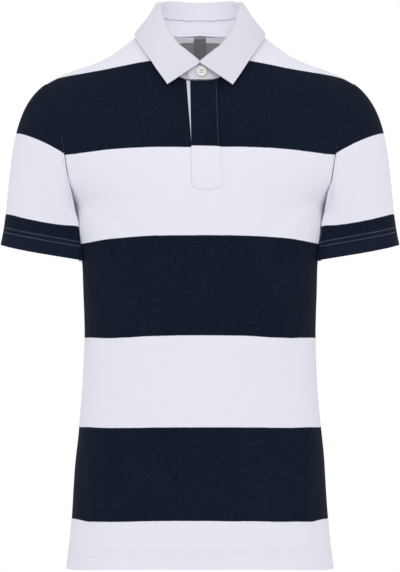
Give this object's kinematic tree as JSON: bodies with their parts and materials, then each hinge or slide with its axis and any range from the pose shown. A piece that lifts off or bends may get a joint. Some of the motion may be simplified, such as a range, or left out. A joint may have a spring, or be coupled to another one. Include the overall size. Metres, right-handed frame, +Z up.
{
  "type": "polo shirt",
  "caption": "Hollow short-sleeved polo shirt in worn form, with a turned-down woven collar, covered placket, collar button, striped body and open neck, hem and cuffs.",
  "frame": {"origin": "middle of the neck at the height of the shoulder tops, where the wearer's shoulders carry the shirt", "axes": "+Z up, -Y is the front of the shirt, +X is the wearer's left"},
  "size_m": [0.5274, 0.2567, 0.7549],
  "materials": {
    "striped_jersey": "cotton jersey in wide stripes of navy and white, matt",
    "white_twill": "white cotton twill, matt",
    "grey_label": "woven label, plain grey",
    "button_shell": "off-white four-hole button, satin"
  },
  "bodies": {
    "root": {"front_panel": "striped_jersey", "back_panel": "striped_jersey", "sleeve_left": "striped_jersey", "sleeve_right": "striped_jersey", "placket_over": "striped_jersey", "placket_under": "white_twill", "collar_stand": "white_twill", "collar_leaf": "white_twill", "neck_tape": "white_twill", "neck_label": "grey_label", "collar_button": "button_shell"}
  },
  "joints": []
}
